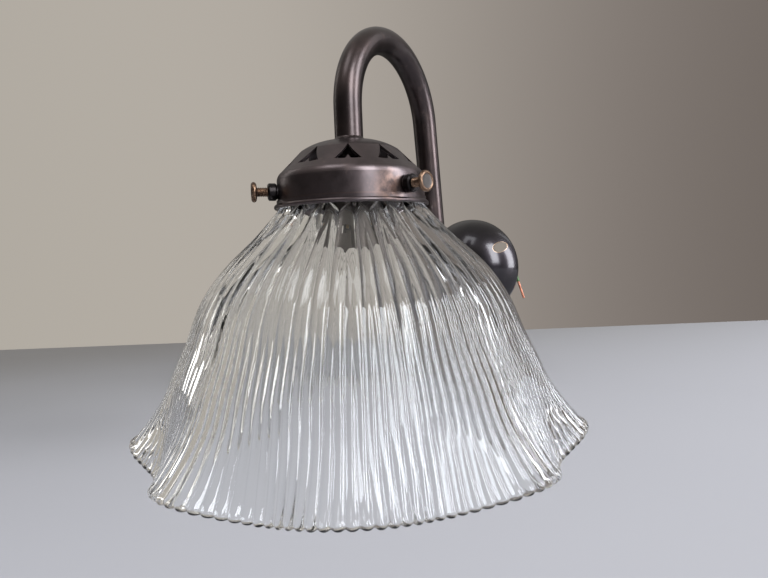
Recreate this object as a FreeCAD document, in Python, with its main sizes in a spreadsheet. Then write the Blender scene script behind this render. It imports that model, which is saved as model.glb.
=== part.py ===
import FreeCAD, Part
import math
import os
import re

import Sketcher

# Swan-neck wall lamp with a clear pressed-glass shade, in millimetres.
# The origin is the middle of the rose's back face, which lies on the wall.
# Y points into the wall, Z is up, and the lamp reaches out along -Y.
# An azimuth is measured about an upright axis from -Y, towards +X.

doc = FreeCAD.newDocument("WallLamp")
sheet = doc.addObject("Spreadsheet::Sheet", "Sizes")

# Driving dimensions: name, value, what it sets
SIZES = [
    ("reach", 132, "wall face to the upright axis of the shade"),
    ("arch_height", 74, "axis of the rose up to the centre of the arch"),
    ("leg_length", 14.5, "straight run from the gallery's top up to the arch"),
    ("foot_radius", 26, "centreline radius of the bend above the rose"),
    ("foot_run", 6.25, "straight run from that bend into the rose"),
    ("lean_angle", 7.4, "lean of the long leg away from upright, degrees"),
    ("arm_radius", 6, "outside radius of the tube"),
    ("arm_wall", 1, "wall of the tube"),
    ("flare_radius", 7.4, "radius of the tube's flare on the gallery"),
    ("flare_height", 1.8, "height of that flare"),
    ("thread_gap", 0.02, "radial gap in a made-up thread"),
    ("seat_gap", 0.3, "gap between glass and what holds it"),
    ("nipple_bore", 3.7, "bore radius of both threaded nipples"),
    ("nipple_grip", 8, "length of the front nipple inside the tube"),
    ("rear_grip", 6, "length of the rear nipple inside the tube"),
    ("rose_radius", 30, "radius of the wall rose"),
    ("rose_depth", 21, "depth of the wall rose"),
    ("rose_edge", 1.6, "upright edge of the rose at the wall"),
    ("rose_land", 9.5, "radius of the flat where the tube seats"),
    ("rose_curve", 27.6, "radius of the dome's profile"),
    ("sheet_wall", 1, "wall of the spun brass"),
    ("wall_hole_radius", 3, "radius of a wall screw's hole"),
    ("wall_hole_circle", 25.5, "radius of the circle of those holes"),
    ("wall_hole_angle", 29, "rise of the right hole above level, degrees"),
    ("washer_radius", 9, "radius of the washer in the rose"),
    ("washer_height", 1, "thickness of that washer"),
    ("nut_radius", 8.1, "radius over the corners of the lock nut"),
    ("nut_height", 3, "thickness of the lock nut"),
    ("nipple_stand", 1, "nipple standing past the nut"),
    ("bush_flange", 1.2, "thickness of the rear bush's flange"),
    ("bush_flange_radius", 5.4, "radius of the rear bush's flange"),
    ("bush_sleeve", 5, "length of the rear bush inside the nipple"),
    ("flex_radius", 3, "radius of the flex in the tube"),
    ("flex_gap", 0.05, "radial gap round the flex in its bush"),
    ("flex_front", 0.5, "flex standing past the front nipple"),
    ("flex_rear", 3, "flex standing past the rear bush"),
    ("gallery_radius", 31, "outside radius of the gallery's band"),
    ("gallery_height", 27.5, "height of the gallery"),
    ("gallery_crown", 9, "radius of the flat crown"),
    ("gallery_brow_radius", 20.8, "radius where the crown turns into the cone"),
    ("gallery_brow_drop", 4.3, "drop of that edge below the crown"),
    ("gallery_cone_radius", 29.2, "radius at the foot of the cone"),
    ("gallery_cone_height", 14.8, "height of the foot of the cone above the lip"),
    ("gallery_band_height", 11.6, "height of the top of the upright band"),
    ("gallery_curve", 26, "radius of the crown's profile"),
    ("gallery_shoulder", 4.6, "radius of the shoulder's profile"),
    ("step_height", 3.4, "height of the fine step above the lip"),
    ("step_width", 0.45, "how far the step stands out"),
    ("lip_height", 1.8, "height of the rolled lip"),
    ("lip_width", 1.3, "how far the lip stands out of the band"),
    ("vent_count", 10, "vents round the cone"),
    ("vent_phase", -9.3, "turn of the first vent from the first screw, degrees"),
    ("vent_tip", 0.3, "a vent's tip above the cone's upper edge"),
    ("vent_length", 8.8, "tip of a vent to its base corners"),
    ("vent_half_width", 5.2, "half the width of a vent's base"),
    ("vent_sag", 0.7, "drop of a vent's base from its corners to its notch"),
    ("vent_notch", 2.2, "depth of the notch in a vent's base"),
    ("vent_notch_half", 1.1, "half the width of that notch"),
    ("vent_side_curve", 30, "radius of a vent's hollow sides"),
    ("vent_base_curve", 9, "radius of each half of a vent's base"),
    ("screw_azimuth", 77.8, "azimuth of the first thumb screw, degrees"),
    ("screw_height", 6.9, "height of the thumb screws above the lip"),
    ("screw_radius", 1.95, "radius of a thumb screw's shank"),
    ("screw_gap", 0.05, "radial running gap in a screw's bush"),
    ("screw_tip_radius", 1.2, "radius of a thumb screw's flat tip"),
    ("screw_tip_height", 1.1, "length of the taper at its tip"),
    ("screw_length", 12.7, "tip of a thumb screw to its head"),
    ("head_radius", 4.1, "radius of a thumb screw's head"),
    ("head_height", 2, "thickness of a thumb screw's head"),
    ("dish_radius", 3.1, "radius of the dish in a screw's head"),
    ("dish_depth", 0.3, "depth of that dish"),
    ("boss_radius", 3.55, "radius of a screw's bush"),
    ("boss_length", 3.9, "how far a screw's bush stands out"),
    ("boss_chamfer", 0.5, "chamfer on a screw's bush"),
    ("boss_neck_radius", 2.9, "radius of the bush's neck at the band"),
    ("boss_neck", 0.6, "length of that neck"),
    ("stem_radius", 2.5, "radius of the bush's stem through the band"),
    ("stem_stand", 0.3, "stem standing inside the band"),
    ("groove_radius", 26.5, "radius of the groove in the glass neck"),
    ("groove_foot", 4.5, "height of the groove's lower end above the lip"),
    ("groove_taper", 0.8, "height of the taper under the fitter bead"),
    ("bead_radius", 28.6, "radius of the fitter bead, for a 57 mm gallery"),
    ("bead_height", 3.8, "height of the fitter bead"),
    ("glass_wall", 3, "thickness of the glass"),
    ("shade_drop", 100.2, "groove's lower end down to the mean level of the rim"),
    ("rim_radius", 91, "mean radius of the rim"),
    ("lobe_count", 9, "waves round the rim"),
    ("lobe_azimuth", 31.5, "azimuth of one outward wave, degrees"),
    ("lobe_swing", 5.2, "how far a wave swings in and out"),
    ("lobe_lift", 2.6, "how far a wave rises and falls"),
    ("lobe_start_share", 0.58, "share of the drop where the waves begin"),
    ("holder_radius", 15.5, "outside radius of the lampholder"),
    ("holder_wall", 0.8, "wall of the lampholder's cap"),
    ("cap_height", 20, "height of the lampholder's cap"),
    ("cap_neck_radius", 7, "radius of the cap's threaded neck"),
    ("cap_neck_height", 6, "height of that neck"),
    ("cap_shoulder_drop", 5, "drop of the cap's shoulder below the neck"),
    ("cap_curve", 9.5, "radius of the cap's shoulder profile"),
    ("ring_height", 9, "height of the lampholder's clamp ring"),
    ("ring_wall", 1.1, "wall of the clamp ring"),
    ("ring_lip", 1.2, "thickness of the ring's inward lip"),
    ("ring_gap", 0.2, "radial gap round the barrel's flange"),
    ("socket_radius", 11.2, "bore radius of the bayonet socket"),
    ("socket_guide", 8, "length of that bore, below the contacts"),
    ("socket_relief", 0.4, "radial relief above it"),
    ("barrel_wall", 0.9, "wall of the socket barrel"),
    ("barrel_length", 18.3, "barrel below the top of its flange"),
    ("barrel_flange", 1.5, "thickness of the barrel's flange"),
    ("slot_half_width", 1.3, "half the width of a bayonet slot"),
    ("slot_height", 9.5, "height of a bayonet slot's upper edge"),
    ("slot_run", 5.2, "sideways run of a bayonet slot"),
    ("slot_hook", 1.4, "downward hook at the end of a bayonet slot"),
    ("core_flange", 3, "thickness of the ceramic core's flange"),
    ("core_gap", 0.2, "radial gap between core and barrel"),
    ("core_depth", 6.5, "core below the underside of its flange"),
    ("core_neck_radius", 11, "radius of the core above its flange"),
    ("core_neck", 6, "core above its flange"),
    ("contact_spread", 5.5, "axis of the lamp to a contact's axis"),
    ("plunger_radius", 2.3, "radius of a contact plunger's collar"),
    ("plunger_tip_radius", 1.6, "radius of a contact plunger's tip"),
    ("plunger_stand", 3.6, "tip standing out of the core"),
    ("plunger_collar", 1.6, "height of the plunger's collar"),
    ("plunger_gap", 0.05, "running gap round a plunger"),
    ("plunger_ledge", 2.4, "thickness of core under a collar"),
    ("spring_wire", 0.5, "wall of a plunger's spring"),
    ("terminal_half", 2.6, "half the width of a terminal block"),
    ("terminal_height", 4.4, "height of a terminal block"),
    ("terminal_hole", 1.25, "radius of the wire hole in a terminal"),
    ("terminal_depth", 3, "depth of that hole"),
    ("lead_seat", 1, "length of a lead inside its terminal"),
    ("terminal_screw_radius", 1.3, "radius of a terminal screw"),
    ("terminal_screw_head", 1.9, "radius of a terminal screw's head"),
    ("terminal_screw_height", 1.6, "height of a terminal screw's head"),
    ("terminal_screw_length", 1.2, "shank of a terminal screw in its block"),
    ("earth_screw_height", 6, "height of the earth screw above the cap's edge"),
    ("earth_screw_radius", 1.5, "radius of the earth screw's shank"),
    ("earth_screw_head", 2.6, "radius of the earth screw's head"),
    ("earth_screw_length", 4.5, "shank of the earth screw"),
    ("wire_radius", 1.1, "radius of an insulated core"),
    ("copper_radius", 0.7, "radius of a bare copper end"),
    ("copper_length", 11, "length of a bare copper end"),
    ("core_circle", 1.3, "circle on which the three cores lie in the flex"),
    ("cut_over", 5, "overrun of every cut"),
]

for row, (name, value, meaning) in enumerate(SIZES, start=1):
    sheet.set("A%d" % row, meaning)
    sheet.set("B%d" % row, str(value))
    sheet.setAlias("B%d" % row, name)
doc.recompute()

NAMES = {name for name, value, meaning in SIZES}


def bound(text):
    """The expression with each named size read from the sheet."""
    def swap(found):
        word = found.group(0)
        return "Sizes." + word if word in NAMES else word
    return re.sub(r"[a-z_]+", swap, text)


def size(text):
    """The value of an expression in the named sizes."""
    value = sheet.evalExpression(bound(text))
    return float(getattr(value, "Value", value))


# Levels and radii that several pieces share, in the named sizes
GALLERY_TOP = "(arch_height - leg_length)"
LIP_LEVEL = "(arch_height - leg_length - gallery_height)"
CAP_EDGE = "(arch_height - leg_length - sheet_wall - cap_height)"
RING_EDGE = "(arch_height - leg_length - sheet_wall - cap_height - ring_height)"
BARREL_TOP = "(%s + ring_lip + barrel_flange)" % RING_EDGE
ARM_BORE = "(arm_radius - arm_wall)"
NIPPLE_RADIUS = "(arm_radius - arm_wall - thread_gap)"
NUT_TOP = "(rose_depth - sheet_wall - washer_height - nut_height)"
NIPPLE_REAR = "(rose_depth - sheet_wall - washer_height - nut_height - nipple_stand)"
NIPPLE_FRONT = "(arch_height - leg_length - sheet_wall - cap_neck_height)"
FLEX_FRONT = "(%s - flex_front)" % NIPPLE_FRONT
FLEX_REAR = "(%s - bush_flange - flex_rear)" % NIPPLE_REAR
FOOT_RISE = "(foot_radius * (1 - sin(lean_angle)))"
LEAN_RUN = "((arch_height - %s) * tan(lean_angle))" % FOOT_RISE
ARCH_SPAN = "(reach - rose_depth - foot_run - foot_radius * cos(lean_angle) - %s)" % LEAN_RUN
LEAN_SHARE = "(1 + cos(lean_angle) + sin(lean_angle) * tan(lean_angle))"
ARCH_RADIUS = "(%s / %s)" % (ARCH_SPAN, LEAN_SHARE)
CONE_DROP = "(gallery_height - gallery_brow_drop - gallery_cone_height)"
CONE_SLOPE = "atan(%s / (gallery_cone_radius - gallery_brow_radius))" % CONE_DROP
TO_WALL = FreeCAD.Rotation(FreeCAD.Vector(1, 0, 0), 90)
UPRIGHT = FreeCAD.Rotation()

# Share by which a sweep's volume may differ from its section times its length
SWEEP_TOLERANCE = 0.01

nodes = []


def kept(piece):
    """Counts a finished piece among those written out."""
    nodes.append(piece)
    return piece


def place(piece, across, along, up, rotation=UPRIGHT):
    """Puts a piece where three expressions in the named sizes say."""
    piece.Placement = FreeCAD.Placement(FreeCAD.Vector(), rotation)
    for axis, text in (("x", across), ("y", along), ("z", up)):
        piece.setExpression("Placement.Base." + axis, bound(text))
    return piece


def on_shade_axis(piece, level):
    """Stands a piece on the shade's axis at a level."""
    return place(piece, "0", "0 - reach", level)


def on_wall_axis(piece, stand):
    """Lays a piece on the rose's axis, standing out from the wall."""
    return place(piece, "0", "0 - %s" % stand, "0", TO_WALL)


def origin_feature(body, role):
    """One of a body's own planes or axes."""
    for feature in body.Origin.OriginFeatures:
        if feature.Role == role:
            return feature
    raise ValueError("no origin feature " + role)


def new_sketch(body, name, role):
    """A sketch on one of a body's own planes."""
    sketch = body.newObject("Sketcher::SketchObject", name)
    sketch.AttachmentSupport = (origin_feature(body, role), [""])
    sketch.MapMode = "FlatFace"
    return sketch


def bind(sketch, constraint, name, text):
    """Adds a dimension to a sketch and ties it to the sheet."""
    index = sketch.addConstraint(constraint)
    sketch.renameConstraint(index, name)
    sketch.setExpression("Constraints." + name, bound(text))


def pin_point(sketch, edge, end, label, across, up):
    """Ties one end of an edge to a place given by two expressions."""
    if size(across) == 0:
        sketch.addConstraint(Sketcher.Constraint("PointOnObject", edge, end, -2))
    else:
        rule = Sketcher.Constraint("DistanceX", -1, 1, edge, end, size(across))
        bind(sketch, rule, label + "_x", across)
    if size(up) == 0:
        sketch.addConstraint(Sketcher.Constraint("PointOnObject", edge, end, -1))
    else:
        rule = Sketcher.Constraint("DistanceY", -1, 1, edge, end, size(up))
        bind(sketch, rule, label + "_y", up)


def arc_between(start, end, radius, side):
    """An arc from start to end whose centre lies left (1) or right (-1)."""
    chord = end - start
    middle = (start + end) * 0.5
    left = FreeCAD.Vector(-chord.y, chord.x, 0).normalize()
    rise = math.sqrt(radius ** 2 - (chord.Length / 2) ** 2)
    centre = middle + left * (rise * side)
    circle = Part.Circle(centre, FreeCAD.Vector(0, 0, 1), radius)
    first, last = (start, end) if side > 0 else (end, start)
    turn_first = math.atan2(first.y - centre.y, first.x - centre.x)
    turn_last = math.atan2(last.y - centre.y, last.x - centre.x)
    return Part.ArcOfCircle(circle, turn_first, turn_last)


def outline(sketch, corners, tag="corner"):
    """Draws a closed outline through corners given as expressions.

    A corner may also hold a radius and a side: the edge to the next
    corner is then an arc with its centre on that side of the way there.
    """
    spots = [FreeCAD.Vector(size(c[0]), size(c[1]), 0) for c in corners]
    ends = []
    for number, corner in enumerate(corners):
        start = spots[number]
        end = spots[(number + 1) % len(corners)]
        if not corner[2:]:
            edge = sketch.addGeometry(Part.LineSegment(start, end), False)
            ends.append((edge, 1, 2))
        else:
            arc = arc_between(start, end, size(corner[2]), corner[3])
            edge = sketch.addGeometry(arc, False)
            ends.append((edge, 1, 2) if corner[3] > 0 else (edge, 2, 1))
    for number, corner in enumerate(corners):
        edge, start, end = ends[number]
        after, after_start, after_end = ends[(number + 1) % len(corners)]
        sketch.addConstraint(Sketcher.Constraint("Coincident", edge, end, after, after_start))
        label = "%s%d" % (tag, number)
        pin_point(sketch, edge, start, label, corner[0], corner[1])
        if corner[2:]:
            rule = Sketcher.Constraint("Radius", edge, size(corner[2]))
            bind(sketch, rule, label + "_r", corner[2])


def new_body(name):
    return kept(doc.addObject("PartDesign::Body", name))


def revolve(body, name, corners):
    """Turns an outline of radius and height about the body's Z axis."""
    sketch = new_sketch(body, name + "_outline", "XZ_Plane")
    outline(sketch, corners)
    turn = body.newObject("PartDesign::Revolution", name + "_turn")
    turn.Profile = sketch
    turn.ReferenceAxis = (sketch, ["V_Axis"])
    turn.Angle = 360
    body.Tip = turn
    return turn


def turned(name, corners):
    """A body made as one turning."""
    body = new_body(name)
    revolve(body, name, corners)
    return body


def round_spots(sketch, spots):
    """Draws circles: place across, place up and radius, all expressions."""
    for number, (across, up, radius) in enumerate(spots):
        centre = FreeCAD.Vector(size(across), size(up), 0)
        circle = Part.Circle(centre, FreeCAD.Vector(0, 0, 1), size(radius))
        edge = sketch.addGeometry(circle, False)
        pin_point(sketch, edge, 3, "spot%d" % number, across, up)
        rule = Sketcher.Constraint("Radius", edge, size(radius))
        bind(sketch, rule, "spot%d_r" % number, radius)


def cut_away(body, sketch, name, depth):
    """Cuts a sketch's shape out of a body to a depth, or refuses."""
    before = body.Shape.Volume
    pocket = body.newObject("PartDesign::Pocket", name)
    pocket.Profile = sketch
    pocket.setExpression("Length", bound(depth))
    pocket.Reversed = True
    body.Tip = pocket
    doc.recompute()
    if body.Shape.Volume >= before:
        raise ValueError(name + " cuts nothing")
    return pocket


def repeat_round(body, feature, name, count):
    """Repeats a feature evenly about the body's Z axis."""
    pattern = body.newObject("PartDesign::PolarPattern", name)
    pattern.Originals = [feature]
    pattern.Axis = (origin_feature(body, "Z_Axis"), [""])
    pattern.Angle = 360
    pattern.Occurrences = count
    body.Tip = pattern
    doc.recompute()


def tube_section(sketch, radii):
    """Concentric circles about the sketch's origin."""
    round_spots(sketch, [("0", "0", radius) for radius in radii])


# Wall rose and what holds it to the arm

def make_rose():
    outer = [
        ("rose_radius", "0"),
        ("rose_radius", "rose_edge", "rose_curve", 1),
        ("rose_land", "rose_depth"),
        ("arm_radius - arm_wall", "rose_depth"),
        ("arm_radius - arm_wall", "rose_depth - sheet_wall"),
        ("rose_land", "rose_depth - sheet_wall", "rose_curve - sheet_wall", -1),
        ("rose_radius - sheet_wall", "rose_edge"),
        ("rose_radius - sheet_wall", "0"),
    ]
    body = turned("wall_rose", outer)
    doc.recompute()
    holes = new_sketch(body, "wall_rose_holes", "XY_Plane")
    across = "wall_hole_circle * cos(wall_hole_angle)"
    up = "wall_hole_circle * sin(wall_hole_angle)"
    round_spots(holes, [
        (across, up, "wall_hole_radius"),
        ("0 - " + across, "0 - " + up, "wall_hole_radius"),
    ])
    cut_away(body, holes, "wall_rose_hole_cut", "rose_depth + cut_over")
    return on_wall_axis(body, "0")


def ring(name, inner, outer, height):
    """A plain turned ring standing on its own base plane."""
    return turned(name, [(inner, "0"), (outer, "0"), (outer, height), (inner, height)])


def make_rose_fittings():
    nipple_length = "(rear_grip + rose_depth - %s)" % NIPPLE_REAR
    on_wall_axis(ring("rear_nipple", "nipple_bore", NIPPLE_RADIUS, nipple_length), NIPPLE_REAR)
    washer_stand = "(rose_depth - sheet_wall - washer_height)"
    on_wall_axis(ring("rose_washer", ARM_BORE, "washer_radius", "washer_height"), washer_stand)
    prism = doc.addObject("Part::Prism", "lock_nut_block")
    prism.Polygon = 6
    prism.setExpression("Circumradius", bound("nut_radius"))
    prism.setExpression("Height", bound("nut_height"))
    bore = doc.addObject("Part::Cylinder", "lock_nut_bore")
    bore.setExpression("Radius", bound(ARM_BORE))
    bore.setExpression("Height", bound("nut_height"))
    nut = kept(doc.addObject("Part::Cut", "rose_lock_nut"))
    nut.Base = prism
    nut.Tool = bore
    on_wall_axis(nut, NUT_TOP)
    sleeve = "(nipple_bore - thread_gap)"
    hole = "(flex_radius + flex_gap)"
    bush = turned("rear_bush", [
        (hole, "0"),
        ("bush_flange_radius", "0"),
        ("bush_flange_radius", "bush_flange"),
        (sleeve, "bush_flange"),
        (sleeve, "bush_flange + bush_sleeve"),
        (hole, "bush_flange + bush_sleeve"),
    ])
    on_wall_axis(bush, "(%s - bush_flange)" % NIPPLE_REAR)


# Arm: up from the gallery, over the arch, down the long leg, into the rose

def arm_path(body, name, first_run, last_run):
    """The arm's centreline, whose end runs are given as expressions."""
    sketch = new_sketch(body, name, "YZ_Plane")
    lean = math.radians(size("lean_angle"))
    arch = size(ARCH_RADIUS)
    foot = size("foot_radius")
    rise = size(first_run)
    drop = size("arch_height") + arch * math.sin(lean) - foot * (1 - math.sin(lean))
    arch_end = FreeCAD.Vector(arch * (1 + math.cos(lean)), rise + arch * math.sin(lean), 0)
    slide = drop * math.tan(lean)
    foot_start = arch_end + FreeCAD.Vector(slide, -drop, 0)
    foot_centre = foot_start + FreeCAD.Vector(math.cos(lean), math.sin(lean), 0) * foot
    foot_end = foot_centre - FreeCAD.Vector(0, foot, 0)
    path_end = FreeCAD.Vector(size("reach - %s" % last_run), foot_end.y, 0)
    flat = FreeCAD.Vector(0, 0, 1)
    arch_circle = Part.Circle(FreeCAD.Vector(arch, rise, 0), flat, arch)
    foot_circle = Part.Circle(foot_centre, flat, foot)
    up_leg = sketch.addGeometry(Part.LineSegment(FreeCAD.Vector(), FreeCAD.Vector(0, rise, 0)), False)
    over = sketch.addGeometry(Part.ArcOfCircle(arch_circle, lean, math.pi), False)
    down_leg = sketch.addGeometry(Part.LineSegment(arch_end, foot_start), False)
    bend = sketch.addGeometry(Part.ArcOfCircle(foot_circle, math.pi + lean, math.pi * 3 / 2), False)
    last = sketch.addGeometry(Part.LineSegment(foot_end, path_end), False)
    rules = [
        Sketcher.Constraint("Coincident", up_leg, 1, -1, 1),
        Sketcher.Constraint("Vertical", up_leg),
        Sketcher.Constraint("Tangent", up_leg, 2, over, 2),
        Sketcher.Constraint("Tangent", over, 1, down_leg, 1),
        Sketcher.Constraint("Tangent", down_leg, 2, bend, 1),
        Sketcher.Constraint("Tangent", bend, 2, last, 1),
        Sketcher.Constraint("Horizontal", last),
    ]
    for rule in rules:
        sketch.addConstraint(rule)
    bind(sketch, Sketcher.Constraint("Radius", over, arch), "arch", ARCH_RADIUS)
    bind(sketch, Sketcher.Constraint("Radius", bend, foot), "foot", "foot_radius")
    rise_rule = Sketcher.Constraint("DistanceY", up_leg, 1, up_leg, 2, rise)
    bind(sketch, rise_rule, "rise", first_run)
    side = Sketcher.Constraint("DistanceX", over, 3, over, 1, arch * math.cos(lean))
    bind(sketch, side, "lean", ARCH_RADIUS + " * cos(lean_angle)")
    reach_rule = Sketcher.Constraint("DistanceX", -1, 1, last, 2, path_end.x)
    bind(sketch, reach_rule, "run_end", "reach - %s" % last_run)
    level = Sketcher.Constraint("DistanceY", -1, 1, last, 2, path_end.y)
    bind(sketch, level, "run_level", "%s - arch_height" % first_run)
    return sketch


def swept_arm(name, radii, first_run, last_run):
    """A body that follows the arm's centreline with round walls."""
    body = new_body(name)
    path = arm_path(body, name + "_path", first_run, last_run)
    section = new_sketch(body, name + "_section", "XY_Plane")
    tube_section(section, radii)
    doc.recompute()
    pipe = body.newObject("PartDesign::AdditivePipe", name + "_pipe")
    pipe.Profile = section
    pipe.Spine = (path, ["Edge%d" % (n + 1) for n in range(len(path.Shape.Edges))])
    body.Tip = pipe
    doc.recompute()
    area = math.pi * sum((1 if n == 0 else -1) * size(r) ** 2 for n, r in enumerate(radii))
    swept = area * path.Shape.Length
    if abs(body.Shape.Volume - swept) > SWEEP_TOLERANCE * swept:
        raise ValueError("%s holds %.0f, not %.0f" % (name, body.Shape.Volume, swept))
    return body


def make_arm():
    body = swept_arm("swan_neck_arm", ["arm_radius", ARM_BORE], "leg_length", "rose_depth")
    revolve(body, "swan_neck_flare", [
        (ARM_BORE, "0"),
        ("flare_radius", "0"),
        ("flare_radius", "flare_height / 4", "(flare_radius - arm_radius) * 2", -1),
        ("arm_radius", "flare_height"),
        (ARM_BORE, "flare_height"),
    ])
    on_shade_axis(body, GALLERY_TOP)


def make_flex():
    rise = "(arch_height - %s)" % FLEX_FRONT
    body = swept_arm("flex_sheath", ["flex_radius"], rise, FLEX_REAR)
    on_shade_axis(body, FLEX_FRONT)


# Gallery, its bushes and thumb screws

def make_gallery():
    top = "gallery_height"
    brow = "(gallery_height - gallery_brow_drop)"
    body = turned("gallery", [
        (ARM_BORE, top),
        (ARM_BORE, "gallery_height - sheet_wall"),
        ("gallery_crown", "gallery_height - sheet_wall", "gallery_curve - sheet_wall", -1),
        ("gallery_brow_radius - sheet_wall * 0.5", "%s - sheet_wall" % brow),
        ("gallery_cone_radius - sheet_wall * 0.7", "gallery_cone_height - sheet_wall * 0.7",
         "gallery_shoulder - sheet_wall", -1),
        ("gallery_radius - sheet_wall", "gallery_band_height"),
        ("gallery_radius - sheet_wall", "step_height"),
        ("gallery_radius + step_width - sheet_wall", "step_height - sheet_wall / 2"),
        ("gallery_radius + step_width - sheet_wall", "lip_height"),
        ("gallery_radius + lip_width - sheet_wall", "0"),
        ("gallery_radius + lip_width", "0", "lip_height * 0.6", 1),
        ("gallery_radius + lip_width * 0.6", "lip_height"),
        ("gallery_radius + step_width", "lip_height"),
        ("gallery_radius + step_width", "step_height"),
        ("gallery_radius", "step_height"),
        ("gallery_radius", "gallery_band_height", "gallery_shoulder", 1),
        ("gallery_cone_radius", "gallery_cone_height"),
        ("gallery_brow_radius", brow, "gallery_curve", 1),
        ("gallery_crown", top),
    ])
    doc.recompute()
    # Each vent is punched square through the cone, from inside
    slope = FreeCAD.Rotation(FreeCAD.Vector(1, 0, 0), size(CONE_SLOPE))
    phase = FreeCAD.Rotation(FreeCAD.Vector(0, 0, 1), size("vent_phase"))
    inside = slope.multVec(FreeCAD.Vector(0, 0, size("0 - cut_over")))
    start = FreeCAD.Vector(0, size("0 - gallery_brow_radius"), size(brow)) + inside
    vent = new_sketch(body, "gallery_vent", "XY_Plane")
    vent.AttachmentOffset = FreeCAD.Placement(phase.multVec(start), phase.multiply(slope))
    corner = "vent_tip - vent_length"
    foot = "vent_tip - vent_length - vent_sag"
    outline(vent, [
        ("0 - vent_half_width", corner, "vent_base_curve", 1),
        ("0 - vent_notch_half", foot),
        ("0", foot + " + vent_notch"),
        ("vent_notch_half", foot, "vent_base_curve", 1),
        ("vent_half_width", corner, "vent_side_curve", -1),
        ("0", "vent_tip", "vent_side_curve", -1),
    ], "vent")
    vent_cut = cut_away(body, vent, "gallery_vent_cut", "2 * cut_over")
    repeat_round(body, vent_cut, "gallery_vents", int(size("vent_count")))
    stem = new_sketch(body, "gallery_stem_hole", "XZ_Plane")
    round_spots(stem, [("0", "screw_height", "stem_radius")])
    stem_cut = cut_away(body, stem, "gallery_stem_cut", "gallery_radius + cut_over")
    repeat_round(body, stem_cut, "gallery_stem_holes", 3)
    on_shade_axis(body, LIP_LEVEL)
    body.Placement = FreeCAD.Placement(
        body.Placement.Base, FreeCAD.Rotation(FreeCAD.Vector(0, 0, 1), size("screw_azimuth")))


def radial(piece, number, radius):
    """Lays a piece along the radius of one thumb screw, its Z outwards."""
    azimuth = "(screw_azimuth + %d)" % (120 * number)
    turn = FreeCAD.Rotation(FreeCAD.Vector(0, 0, 1), size(azimuth))
    lay = FreeCAD.Rotation(FreeCAD.Vector(1, 0, 0), 90)
    level = "%s + screw_height" % LIP_LEVEL
    place(piece, "%s * sin(%s)" % (radius, azimuth),
          "0 - reach - %s * cos(%s)" % (radius, azimuth), level, turn.multiply(lay))


def make_gallery_bush(number):
    inside = "(sheet_wall + stem_stand)"
    bore = "(screw_radius + screw_gap)"
    far = "(%s + boss_length)" % inside
    piece = turned("gallery_bush_%d" % (number + 1), [
        (bore, "0"),
        ("stem_radius", "0"),
        ("stem_radius", inside),
        ("boss_neck_radius", inside),
        ("boss_neck_radius", "%s + boss_neck" % inside),
        ("boss_radius - boss_chamfer / 2", "%s + boss_neck" % inside),
        ("boss_radius", "%s + boss_neck + boss_chamfer" % inside),
        ("boss_radius", "%s - boss_chamfer" % far),
        ("boss_radius - boss_chamfer", far),
        (bore, far),
    ])
    radial(piece, number, "(gallery_radius - %s)" % inside)


def make_thumb_screw(number):
    edge = "(head_radius - head_height / 2)"
    head = "(screw_length + head_height)"
    piece = turned("thumb_screw_%d" % (number + 1), [
        ("0", "0"),
        ("screw_tip_radius", "0"),
        ("screw_radius", "screw_tip_height"),
        ("screw_radius", "screw_length"),
        (edge, "screw_length", "head_height / 2", 1),
        ("head_radius", "screw_length + head_height / 2", "head_height / 2", 1),
        (edge, head),
        ("dish_radius", head),
        ("dish_radius - dish_depth", "%s - dish_depth" % head),
        ("0", "%s - dish_depth" % head),
    ])
    radial(piece, number, "(groove_radius + seat_gap)")


# Glass shade: a turned neck and a bell whose rim waves in and out

# Shares of the way from the groove's radius to the rim's, and of the drop
BELL_SHARES = [
    (0, 0), (0.069, 0.048), (0.212, 0.149), (0.408, 0.268), (0.523, 0.358), (0.605, 0.448),
    (0.678, 0.567), (0.752, 0.677), (0.815, 0.789), (0.877, 0.872), (0.946, 0.951), (1, 1),
]
WAVE_POWER = 2.2
BELL_ROWS = 16
BELL_COLUMNS = 13


def bell_line():
    """The bell's mean outline, as a smooth curve of radius and height."""
    groove = size("groove_radius")
    spread = size("rim_radius") - groove
    foot = size("groove_foot")
    drop = size("shade_drop")
    line = Part.BSplineCurve()
    line.interpolate([
        FreeCAD.Vector(groove + spread * radius_share, 0, foot - drop * drop_share)
        for radius_share, drop_share in BELL_SHARES])
    return line


def bell_point(line, along, angle, inset):
    """A point of the waved bell: along 0 to 1, angle from a wave's crest."""
    first, last = line.FirstParameter, line.LastParameter
    place_at = first + (last - first) * along
    spot = line.value(place_at)
    slope = line.tangent(place_at)[0]
    normal = FreeCAD.Vector(-slope.z, 0, slope.x)
    start = size("lobe_start_share")
    grow = max(0.0, (along - start) / (1 - start)) ** WAVE_POWER
    wave = grow * math.cos(size("lobe_count") * angle)
    radius = spot.x - normal.x * inset + size("lobe_swing") * wave
    level = spot.z - normal.z * inset + size("lobe_lift") * wave
    return FreeCAD.Vector(radius * math.sin(angle), -radius * math.cos(angle), level)


def bell_sheet(line, inset, half):
    """One wave's face of the bell, from hollow to hollow."""
    rows = []
    for row in range(BELL_ROWS):
        along = row / (BELL_ROWS - 1)
        rows.append([
            bell_point(line, along, half * (2 * column / (BELL_COLUMNS - 1) - 1), inset)
            for column in range(BELL_COLUMNS)])
    surface = Part.BSplineSurface()
    surface.interpolate(rows)
    return surface


def neck_corners():
    """The neck's corners between the outer and inner start of the bell."""
    groove = size("groove_radius")
    wall = size("glass_wall")
    bead = size("bead_radius")
    bead_foot = size("screw_height + screw_radius + seat_gap")
    bead_top = bead_foot + size("bead_height")
    return [
        (groove, bead_foot - size("groove_taper")),
        (bead, bead_foot),
        (bead, bead_top),
        (groove - wall, bead_top),
    ]


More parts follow.
